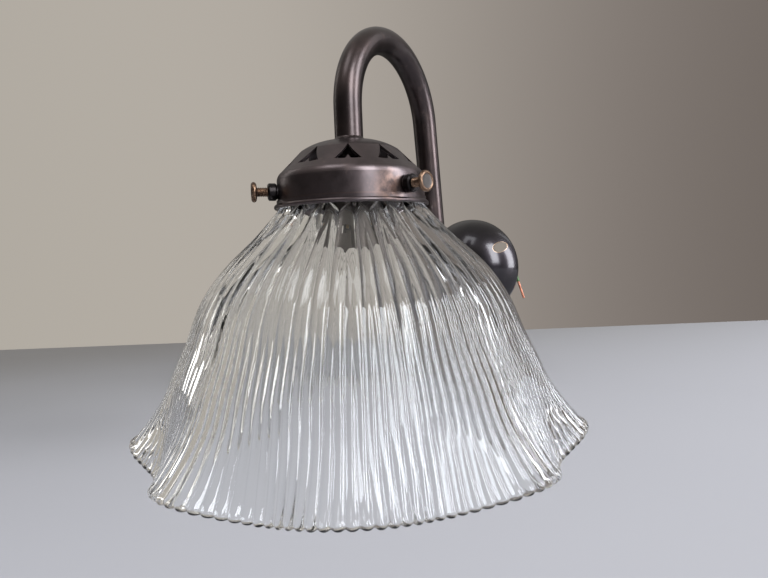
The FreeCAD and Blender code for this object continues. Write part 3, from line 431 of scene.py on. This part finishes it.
def neck_spots():
    """The neck's outline, from inside up over the bead and down to the groove."""
    inside = GROOVE_RADIUS - GLASS_WALL
    return [
        (inside, GROOVE_FOOT), (inside, BEAD_TOP - NECK_EDGE), (inside + NECK_EDGE, BEAD_TOP),
        (BEAD_RADIUS - BEAD_TOP_EDGE, BEAD_TOP),
        (BEAD_RADIUS - BEAD_TOP_EDGE_MIDDLE, BEAD_TOP - BEAD_TOP_EDGE_MIDDLE),
        (BEAD_RADIUS, BEAD_TOP - BEAD_TOP_EDGE), (BEAD_RADIUS, BEAD_FOOT + NECK_EDGE),
        (BEAD_RADIUS - BEAD_FOOT_EDGE[0], BEAD_FOOT + BEAD_FOOT_EDGE[1]),
        (GROOVE_RADIUS + GROOVE_EDGE[0], GROOVE_TOP + GROOVE_EDGE[1]),
        (GROOVE_RADIUS - GROOVE_CUT[0], GROOVE_TOP - GROOVE_CUT[1]),
    ]


# Bell of the glass shade, in millimetres

# A place along the bell is a share, from 0 at the groove to 1 at the edge,
# and a pair of shares is where something starts and ends. A place round it
# is a number of flutes.
SHADE_DROP = 100.2
RIM_RADIUS = 91.0
BELL_SHARES = [
    (0, 0), (0.069, 0.048), (0.212, 0.149), (0.408, 0.268), (0.523, 0.358), (0.605, 0.448),
    (0.678, 0.567), (0.752, 0.677), (0.815, 0.789), (0.877, 0.872), (0.946, 0.951), (1, 1),
]
NORMAL_STEP = 0.004
LOBES = 9
LOBE_AZIMUTH = math.radians(31.5)
LOBE_SWING = 5.2
LOBE_LIFT = 2.6
LOBE_START = 0.58
LOBE_POWER = 2.2
FLUTES = 36
FLUTE_AZIMUTH = math.radians(5.5)
HEAD_OPENING = (0.034, 0.088)
HEAD_SHUT = 0.02
SPLIT = (0.12, 0.36)
SPLIT_SCATTER = (0.05, 0.03)
FINE_SPLIT = (0.34, 0.72)
FINE_SPLIT_SHARE = 0.8
REED_POWER = 2.2
REED_SPREAD = 0.12
REED_SCATTER = (0.3, 0.2)
COARSE_PACE = 2.4
FINE_PACE = 5.1
FINE_SHIFT = 1
MEANDER = 0.02
MEANDER_PACE = 8
MEANDER_SHIFT = 3
MEANDER_SHIFTS_ROUND = 5
FINE_MEANDER = 0.01
FINE_MEANDER_PACE = 17
FINE_MEANDERS_ROUND = 11
MEANDER_GROWTH = (0.1, 0.3)
HEAD_DEPTH = 1.1
BELL_DEPTH = 0.8
BELL_SHALLOWING = (0.08, 0.3)
RIM_DEPTH = 1.15
RIM_DEEPENING = (0.4, 0.75)
RIM_SHARE = 0.98
RIM_SWELL = 0.35
RIM_SWELL_START = 0.955
RIM_BEAD = 0.35
COLUMNS_PER_FLUTE = 40
HEAD_ROWS = 26
HEAD_ROWS_END = HEAD_OPENING[1] * 1.1
OUTER_ROWS = 96
RIM_ROWS = 7
INNER_ROWS = 36


def bell_spots():
    """The bell's mean outline through its given points, from the groove down."""
    spread = RIM_RADIUS - GROOVE_RADIUS
    return [(GROOVE_RADIUS + spread * wide, GROOVE_FOOT - SHADE_DROP * deep)
            for wide, deep in BELL_SHARES]


def smooth_line(spots):
    """A function that runs smoothly through spots as its share goes 0 to 1."""
    ways = [0.0]
    for before, after in zip(spots, spots[1:]):
        ways.append(ways[-1] + math.dist(before, after))
    slopes = []
    for number in range(len(spots)):
        low = max(0, number - 1)
        high = min(len(spots) - 1, number + 1)
        step = ways[high] - ways[low]
        slopes.append([(spots[high][k] - spots[low][k]) / step for k in (0, 1)])

    def at(share):
        way = share * ways[-1]
        number = 0
        while number < len(spots) - 2 and ways[number + 1] < way:
            number += 1
        length = ways[number + 1] - ways[number]
        # A cubic between two spots, weighted by their places and slopes
        t = (way - ways[number]) / length
        start = 2 * t ** 3 - 3 * t ** 2 + 1
        leave = t ** 3 - 2 * t ** 2 + t
        end = 3 * t ** 2 - 2 * t ** 3
        arrive = t ** 3 - t ** 2
        return tuple(
            start * spots[number][k] + leave * length * slopes[number][k]
            + end * spots[number + 1][k] + arrive * length * slopes[number + 1][k]
            for k in (0, 1))

    return at


def bell_normal(line, along):
    """The outward unit normal of the bell's outline."""
    before = line(max(0.0, along - NORMAL_STEP))
    after = line(min(1.0, along + NORMAL_STEP))
    across, up = after[0] - before[0], after[1] - before[1]
    length = math.hypot(across, up)
    return -up / length, across / length


def bell_corner(line, along, azimuth, inset):
    """Radius and level on the waved bell, an inset in from its outer face."""
    wide, up = line(along)
    out, rise = bell_normal(line, along)
    grow = max(0.0, (along - LOBE_START) / (1 - LOBE_START)) ** LOBE_POWER
    wave = grow * math.cos(LOBES * (azimuth - LOBE_AZIMUTH))
    return wide - out * inset + LOBE_SWING * wave, up - rise * inset + LOBE_LIFT * wave


def reed(share):
    """The round back of one reed, over its width."""
    return 1 - abs(2 * (share % 1.0) - 1) ** REED_POWER


def scatter(number, coarse, fine):
    """A steady unevenness by number, the sum of two waves out of step."""
    return (coarse * math.sin(number * COARSE_PACE)
            + fine * math.sin(number * FINE_PACE + FINE_SHIFT))


def unlike(number):
    """A reed's share of the full height, which differs from one to the next."""
    return 1 - REED_SPREAD * (sum(REED_SCATTER) + scatter(number, *REED_SCATTER))


def meander(along, flute):
    """How far the reeds stray sideways, in flutes."""
    turn = math.tau * flute / FLUTES
    shift = MEANDER_SHIFT * math.sin(MEANDER_SHIFTS_ROUND * turn)
    stray = (MEANDER * math.sin(MEANDER_PACE * along + shift)
             + FINE_MEANDER * math.sin(FINE_MEANDER_PACE * along + FINE_MEANDERS_ROUND * turn))
    return stray * smooth(*MEANDER_GROWTH, along)


def reed_height(along, flute):
    """0 in the grooves to 1 on the reeds, at a place along and round the bell."""
    flute += meander(along, flute)
    opened = math.sqrt(smooth(*HEAD_OPENING, along))
    if opened < HEAD_SHUT:
        return 0.0
    # Two flutes share one pointed head, which opens from the middle of the pair
    squeezed = 0.5 + ((flute / 2) % 1.0 - 0.5) / opened
    wide = reed(2 * squeezed) if 0 < squeezed < 1 else 0.0
    halves = reed(2 * flute) * unlike(math.floor(2 * flute))
    quarters = reed(4 * flute) * unlike(math.floor(4 * flute))
    uneven = scatter(math.floor(flute), *SPLIT_SCATTER)
    split = smooth(*SPLIT, along + uneven)
    fine_split = smooth(*FINE_SPLIT, along + FINE_SPLIT_SHARE * uneven)
    narrow = halves + (quarters - halves) * fine_split
    return wide + (narrow - wide) * split


def reed_depth(along):
    """How deep the grooves are cut, in millimetres."""
    shallower = (HEAD_DEPTH - BELL_DEPTH) * smooth(*BELL_SHALLOWING, along)
    deeper = (RIM_DEPTH - BELL_DEPTH) * smooth(*RIM_DEEPENING, along)
    return HEAD_DEPTH - shallower + deeper


def outer_rings(line, azimuths):
    """Rings down the ribbed outside, close together where the ribs have their heads."""
    alongs = [HEAD_ROWS_END * row / HEAD_ROWS for row in range(HEAD_ROWS)]
    rest = RIM_SHARE - HEAD_ROWS_END
    alongs += [HEAD_ROWS_END + rest * row / (OUTER_ROWS - 1) for row in range(OUTER_ROWS)]
    rings = []
    for along in alongs:
        depth = reed_depth(along)
        swell = RIM_SWELL * smooth(RIM_SWELL_START, RIM_SHARE, along)
        ring = []
        for column, azimuth in enumerate(azimuths):
            raised = reed_height(along, column / COLUMNS_PER_FLUTE)
            ring.append(bell_corner(line, along, azimuth, depth * (1 - raised) - swell * raised))
        rings.append(ring)
    return rings


def rim_rings(line, outer_edge, inner_edge):
    """Rings round the rim, between the last outer ring and the first inner one."""
    out, rise = bell_normal(line, RIM_SHARE)
    rings = []
    for row in range(1, RIM_ROWS):
        turn = math.pi * row / RIM_ROWS
        share = (1 - math.cos(turn)) / 2
        ring = []
        for column, (first, last) in enumerate(zip(outer_edge, inner_edge)):
            bead = RIM_BEAD * reed_height(RIM_SHARE, column / COLUMNS_PER_FLUTE)
            bulge = math.sin(turn) * (math.dist(first, last) / 2 + bead)
            ring.append((first[0] + (last[0] - first[0]) * share + rise * bulge,
                         first[1] + (last[1] - first[1]) * share - out * bulge))
        rings.append(ring)
    return rings


def inner_rings(line, azimuths):
    """Rings up the smooth inside, from the rim to the neck."""
    alongs = [RIM_SHARE * (1 - row / (INNER_ROWS - 1)) for row in range(INNER_ROWS)]
    return [[bell_corner(line, along, azimuth, GLASS_WALL) for azimuth in azimuths]
            for along in alongs]


def make_shade():
    line = smooth_line(bell_spots())
    columns = FLUTES * COLUMNS_PER_FLUTE
    azimuths = [FLUTE_AZIMUTH + math.tau * column / columns for column in range(columns)]
    neck = [[spot] * columns for spot in neck_spots()]
    outer = outer_rings(line, azimuths)
    inner = inner_rings(line, azimuths)
    rings = neck + outer + rim_rings(line, outer[-1], inner[0]) + inner
    corners = [about_shade(azimuth, radius * MM, level * MM)
               for ring in rings for (radius, level), azimuth in zip(ring, azimuths)]
    faces = [face[::-1] for face in band_faces(len(rings), columns, joined=True)]
    piece = new_piece("ribbed_shade", corners, faces, GLASS)
    # Clear glass hardly changes the light on the table
    piece.visible_shadow = False
    piece.visible_diffuse = False
    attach(piece, "lamp")
    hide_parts("glass_shade")


# Thumb screws: threaded shanks and round heads

SCREWS = 3
SCREW_AZIMUTH = 77.8
SCREW_LEVEL = LIP_LEVEL + 6.9 * MM
SCREW_TIP_FROM_AXIS = 26.8 * MM
SCREW_SIDES = 40
SCREW_BROWN = (0.19, 0.125, 0.085)
SCREW_DARK = (0.11, 0.07, 0.05)
SCREW_LIGHT = (0.25, 0.16, 0.105)
SCREW_ROUGHNESS = 0.36
SCREW_CLOUD_SCALE = 700
POINT_RADIUS = 0.01 * MM
TIP_RADIUS = 1.2 * MM
TIP_TAPER = 1.1 * MM
SHANK_RADIUS = 1.95 * MM
SHANK_LENGTH = 12.7 * MM
THREAD_PITCH = 0.7 * MM
THREAD_DEPTH = 0.34 * MM
THREAD_STEPS = 8
THREAD_START = 0.05 * MM
THREAD_LENGTH = SHANK_LENGTH - 0.3 * MM
DISH_WAY = SHANK_LENGTH + 1.9 * MM
DISH_RADIUS = 2.5 * MM
DISH_FADE = 0.5 * MM
DISH_GREY = (0.075, 0.068, 0.065)

# Radius and distance from the tip, in millimetres
HEAD_OUTLINE = [(1.9, 12.5), (2.6, 12.7), (3.2, 12.7), (3.75, 12.95), (4.05, 13.4), (4.1, 13.7),
                (4.05, 14.05), (3.8, 14.45), (3.35, 14.68), (3.1, 14.7), (2.95, 14.6), (2.8, 14.42),
                (2.6, 14.4), (1.3, 14.4), (0.01, 14.4)]


def screw_rings():
    """Rings of radius by angle, and their distance from the tip."""
    rings = [([radius] * SCREW_SIDES, 0.0) for radius in (POINT_RADIUS, TIP_RADIUS)]
    steps = int(SHANK_LENGTH / THREAD_PITCH * THREAD_STEPS)
    for step in range(steps):
        way = THREAD_START + THREAD_LENGTH * step / (steps - 1)
        taper = (SHANK_RADIUS - TIP_RADIUS) * (1 - smooth(0, TIP_TAPER, way))
        ring = []
        for side in range(SCREW_SIDES):
            turn = (way / THREAD_PITCH + side / SCREW_SIDES) % 1.0
            groove = THREAD_DEPTH * (1 - abs(2 * turn - 1))
            ring.append(SHANK_RADIUS - taper - groove)
        rings.append((ring, way))
    return rings + [([radius * MM] * SCREW_SIDES, way * MM) for radius, way in HEAD_OUTLINE]


def screw_brass(number, dish):
    """Brown brass thread and rim, with a greyed dish in the head."""
    material, tree, shader = new_material("screw_brass_%d" % number, SCREW_BROWN, SCREW_ROUGHNESS,
                                          metallic=1.0)
    place = position_node(tree)
    cloud = noise_node(tree, place, SCREW_CLOUD_SCALE, detail=5)
    tone = ramp_node(tree, cloud, [(0.35, SCREW_DARK), (0.65, SCREW_LIGHT)])
    in_dish = near_spot(tree, place, dish, DISH_RADIUS, DISH_FADE)
    feed(tree, shader.inputs["Base Color"], mix_node(tree, in_dish, tone, DISH_GREY))
    bump_node(tree, shader, cloud, strength=0.15, distance=0.1 * MM)
    return material


def make_thumb_screw(number):
    azimuth = math.radians(SCREW_AZIMUTH + 360 / SCREWS * (number - 1))
    out = Vector((math.sin(azimuth), -math.cos(azimuth), 0))
    side = Vector((0, 0, 1)).cross(out)
    start = Vector((SHADE_AXIS.x, SHADE_AXIS.y, SCREW_LEVEL)) + out * SCREW_TIP_FROM_AXIS
    rings = screw_rings()
    corners = []
    for ring, way in rings:
        for step, radius in enumerate(ring):
            turn = math.tau * step / SCREW_SIDES
            corners.append(start + out * way + side * (radius * math.cos(turn))
                           + Vector((0, 0, radius * math.sin(turn))))
    brass = screw_brass(number, start + out * DISH_WAY)
    faces = tube_faces(len(rings), SCREW_SIDES)
    piece = new_piece("threaded_screw_%d" % number, corners, faces, brass)
    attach(piece, "screw_%d" % number)
    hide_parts("thumb_screw_%d" % number)


# Springs above the lampholder's contact plungers

SPRINGS = 2
SPRING_WIRE = 0.25 * MM
SPRING_TURNS = 6
SPRING_STEPS = 24
SPRING_SIDES = 8


def make_spring(number):
    """A steel coil in the place of the spring."""
    low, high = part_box("plunger_spring_%d" % number)
    middle = (low + high) / 2
    coil = (high.x - low.x) / 2 - SPRING_WIRE
    rise = high.z - low.z - 2 * SPRING_WIRE
    steps = SPRING_TURNS * SPRING_STEPS
    corners = []
    for step in range(steps + 1):
        turn = math.tau * step / SPRING_STEPS
        level = low.z + SPRING_WIRE + rise * step / steps
        for corner in range(SPRING_SIDES):
            angle = math.tau * corner / SPRING_SIDES
            out = coil + SPRING_WIRE * math.cos(angle)
            corners.append((middle.x + out * math.cos(turn), middle.y + out * math.sin(turn),
                            level - SPRING_WIRE * math.sin(angle)))
    faces = tube_faces(steps + 1, SPRING_SIDES)
    piece = new_piece("plunger_coil_%d" % number, corners, faces, STEEL)
    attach(piece, "lamp")
    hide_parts("plunger_spring_%d" % number)
    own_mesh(piece)


# Wires behind the rose

REAR_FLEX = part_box("flex_sheath")[1].y
CORE_CIRCLE = 1.3 * MM
CORE_ANGLES = {"live": 210, "neutral": 330, "earth": 90}
CORE_FINISHES = {"live": (BROWN, "brown_core"), "neutral": (BLUE, "blue_core"),
                 "earth": (GREEN, "green_core")}
TAIL_START = 6.5 * MM
WIRE_DIAMETER = 2.2 * MM
COPPER_LENGTH = 11 * MM
OUTER_STRANDS = 6
STRAND_RADIUS = 0.23 * MM
STRAND_TURNS = 1.6
STRAND_STEPS = 30
STRAND_SIDES = 8

# Points in millimetres from the middle of the rose's back
TAIL_ROUTES = {
    "live": [(-2.5, 3, -2), (-6, 9.5, -4), (-9.5, 15, -8), (-12, 19.5, -13.5), (-13, 22.5, -20)],
    "neutral": [(1.6, 3, -2.4), (2.4, 9.6, -5.4), (2.6, 15.2, -10), (1.8, 19.4, -15.8),
                (0.4, 22.2, -22.4)],
    "earth": [(2.5, 2, 2.6), (7.6, 6.6, 4), (14.4, 8.4, 4.4), (20.8, 8.4, 2.2), (25, 8.2, -3),
              (27.1, 8, -9.2)],
}


def tail_points(kind):
    """A wire's route, from the end of the flex to its own bare end."""
    angle = math.radians(CORE_ANGLES[kind])
    across, up = CORE_CIRCLE * math.cos(angle), CORE_CIRCLE * math.sin(angle)
    points = [Vector((across, REAR_FLEX, up)), Vector((across, REAR_FLEX + TAIL_START, up))]
    return points + [Vector(point) * MM for point in TAIL_ROUTES[kind]]


def wire_curve(name, points, radius, material):
    """A round wire along a smooth curve with these control points."""
    curve = bpy.data.curves.new(name, "CURVE")
    curve.dimensions = "3D"
    curve.bevel_depth = radius
    curve.bevel_resolution = 6
    curve.resolution_u = 16
    curve.use_fill_caps = True
    spline = curve.splines.new("NURBS")
    spline.points.add(len(points) - 1)
    for target, point in zip(spline.points, points):
        target.co = (*point, 1)
    spline.order_u = 3
    spline.use_endpoint_u = True
    curve.materials.append(material)
    piece = new_object(name, curve)
    return piece


def copper_end(kind, start, way):
    """Bare strands in a loose twist round a straight one."""
    side = way.orthogonal().normalized()
    other = way.cross(side)
    corners = []
    faces = []
    for strand in range(OUTER_STRANDS + 1):
        faces += tube_faces(STRAND_STEPS + 1, STRAND_SIDES, first=len(corners))
        out = 0 if strand == OUTER_STRANDS else 2 * STRAND_RADIUS
        for step in range(STRAND_STEPS + 1):
            share = step / STRAND_STEPS
            turn = math.tau * (STRAND_TURNS * share + strand / OUTER_STRANDS)
            middle = start + way * (COPPER_LENGTH * share) + (
                side * math.cos(turn) + other * math.sin(turn)) * out
            for corner in range(STRAND_SIDES):
                angle = math.tau * corner / STRAND_SIDES
                corners.append(middle + (side * math.cos(angle) + other * math.sin(angle))
                               * STRAND_RADIUS)
    piece = new_piece("%s_copper" % kind, corners, faces, COPPER)
    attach(piece, "lamp")
    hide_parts("%s_tail_end" % kind)
    return piece


def make_tails():
    for kind, (material, slot) in CORE_FINISHES.items():
        points = tail_points(kind)
        piece = wire_curve("%s_wire" % kind, points, WIRE_DIAMETER / 2, material)
        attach(piece, "lamp")
        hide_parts("%s_tail" % kind)
        copper = copper_end(kind, points[-1], (points[-1] - points[-2]).normalized())


# Camera

CAMERA_PLACE = Vector((0.1346, -0.3315, 0.01425))
CAMERA_AHEAD = Vector((-0.5150, 0.8541, -0.0722))
CAMERA_ROLL = math.radians(-2.23)
CAMERA_LENS = 26.25
CAMERA_NEAREST = 0.01


def make_camera():
    data = bpy.data.cameras.new("camera")
    data.lens = CAMERA_LENS
    data.clip_start = CAMERA_NEAREST
    camera = new_object("camera", data)
    turn = CAMERA_AHEAD.to_track_quat("-Z", "Y").to_matrix().to_4x4()
    roll = Matrix.Rotation(CAMERA_ROLL, 4, "Z")
    camera.matrix_world = Matrix.Translation(CAMERA_PLACE) @ turn @ roll
    bpy.context.scene.camera = camera


# Table, with painted shade: darker away from the camera and to its left

TABLE_FAR = 0.53
TABLE_SIDE = 0.75
TABLE_ROUGHNESS = 0.8
TABLE_SPECULAR = 0.15
# Painted shade: the table's paint tones, from near the lamp's foot to far away and to the left
TABLE_PAINTED_SHADE_TONES = [
    (0.0, (0.50, 0.495, 0.52)), (0.35, (0.45, 0.445, 0.465)), (0.75, (0.31, 0.30, 0.295)),
    (1.0, (0.25, 0.235, 0.22)),
]
TABLE_PAINTED_SHADE_START = 0.12
TABLE_PAINTED_SHADE_END = 0.62
TABLE_PAINTED_SHADE_LEAN = 0.45


def table_paint_with_painted_shade(foot, way):
    """Pale paint, whose tone changes with the distance from a foot along a way: painted shade,
    darker further along.
    """
    material, tree, shader = new_material("table_paint_with_painted_shade", TABLE_PAINTED_SHADE_TONES[0][1], TABLE_ROUGHNESS)
    shader.inputs["Specular IOR Level"].default_value = TABLE_SPECULAR
    run = vector_node(tree, "DOT_PRODUCT", position_node(tree), way)
    start = foot.dot(way)
    share = spread_node(tree, run, start + TABLE_PAINTED_SHADE_START, start + TABLE_PAINTED_SHADE_END)
    # The paint darkens along the way: painted shade
    feed(tree, shader.inputs["Base Color"], ramp_node(tree, share, TABLE_PAINTED_SHADE_TONES, "B_SPLINE"))
    return material


def make_table():
    """A table top at the shade's foot, square to the camera."""
    ahead = Vector((CAMERA_AHEAD.x, CAMERA_AHEAD.y, 0)).normalized()
    side = Vector((ahead.y, -ahead.x, 0))
    foot = Vector((CAMERA_PLACE.x, CAMERA_PLACE.y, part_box("glass_shade")[0].z))
    far = foot + ahead * TABLE_FAR
    near = foot - ahead * TABLE_SIDE
    corners = [far - side * TABLE_SIDE, far + side * TABLE_SIDE, near + side * TABLE_SIDE,
               near - side * TABLE_SIDE]
    mesh = bpy.data.meshes.new("table_top")
    mesh.from_pydata(corners, [], [(3, 2, 1, 0)])
    mesh.materials.append(table_paint_with_painted_shade(foot, ahead - side * TABLE_PAINTED_SHADE_LEAN))
    table = new_object("table_top", mesh)


# Room round the lamp

# The wall's tones run from the camera's right to its left, and those that
# metal and glass mirror run upwards
WALL_TONES = [
    (0.0, (0.12, 0.10, 0.088)), (0.3, (0.23, 0.20, 0.18)), (0.62, (0.49, 0.45, 0.40)),
    (1.0, (0.41, 0.38, 0.335)),
]
WALL_TONES_SPREAD = 0.75
MIRRORED_TONES = [(0.25, (0.07, 0.066, 0.062)), (0.7, (0.42, 0.40, 0.38))]
ROOM_LIGHT_RIGHT = 0.22
ROOM_LIGHT_LEFT = 0.10


def make_world():
    """A wall for the camera, also through the glass, and a dim room for light.

    What metal and glass mirror is darker, above all from below.
    """
    world = bpy.data.worlds.new("room")
    bpy.context.scene.world = world
    world.use_nodes = True
    tree = world.node_tree
    way = tree.nodes.new("ShaderNodeTexCoord").outputs["Generated"]
    turn = vector_node(tree, "DOT_PRODUCT", way, (-CAMERA_AHEAD.y, CAMERA_AHEAD.x, 0))
    turn_share = spread_node(tree, turn, -WALL_TONES_SPREAD, WALL_TONES_SPREAD)
    wall = ramp_node(tree, turn_share, WALL_TONES, "B_SPLINE")
    mirrored_wall = ramp_node(tree, height_node(tree, way), MIRRORED_TONES)
    ray = tree.nodes.new("ShaderNodeLightPath").outputs
    # A ray that has gone through glass counts as glossy too
    mirrored = math_node(tree, "SUBTRACT", ray["Is Glossy Ray"], ray["Is Transmission Ray"],
                         clamp=True)
    shown = mix_node(tree, mirrored, wall, mirrored_wall)
    sharp = math_node(tree, "MAXIMUM", ray["Is Camera Ray"], ray["Is Glossy Ray"])
    sharp = math_node(tree, "MAXIMUM", sharp, ray["Is Transmission Ray"])
    seen = math_node(tree, "SUBTRACT", sharp, ray["Diffuse Depth"], clamp=True)
    room = spread_node(tree, turn, -1, 1, ROOM_LIGHT_RIGHT, ROOM_LIGHT_LEFT)
    background = tree.nodes["Background"]
    feed(tree, background.inputs["Color"], mix_node(tree, seen, room, shown))
    background.inputs["Strength"].default_value = 1.0


# Windows: place, width and height, watts, and colour

WINDOWS_AIM = Vector((0, -0.10, 0.1))
WINDOWS = {
    "window_right": ((1.92, 0.54, 0.74), (0.72, 1.76), 49, (0.93, 0.95, 1.0)),
    "window_back": ((0.75, 0.85, 0.45), (0.14, 1.5), 1.2, (0.93, 0.95, 1.0)),
    "window_front": ((1.76, -0.98, 1.14), (0.74, 1.76), 50, (0.93, 0.96, 1.0)),
    "window_high": ((-0.1, -0.7, 1.2), (0.5, 0.5), 2.6, (0.95, 0.97, 1.0)),
    "window_left": ((-1.35, -0.2, 0.5), (0.12, 1.3), 1.4, (1.0, 0.97, 0.93)),
}


def make_window(name, place, size, watts, colour):
    """A rectangle of light that faces the lamp."""
    data = bpy.data.lights.new(name, "AREA")
    data.shape = "RECTANGLE"
    data.size, data.size_y = size
    data.energy = watts
    data.color = colour
    window = new_object(name, data)
    window.location = place
    window.rotation_euler = (WINDOWS_AIM - Vector(place)).to_track_quat("-Z", "Y").to_euler()
    return window


def make_windows():
    made = {name: make_window(name, *values) for name, values in WINDOWS.items()}
    # It shows as a sheen on the metal and the glass, not through the glass
    made["window_right"].visible_transmission = False


wear_gallery()
wear_rose()
dress_nodes()
make_camera()
make_tails()
make_shade()
for number in range(1, SCREWS + 1):
    make_thumb_screw(number)
for number in range(1, SPRINGS + 1):
    make_spring(number)
make_table()
make_world()
make_windows()

bpy.context.scene.view_settings.view_transform = "Standard"
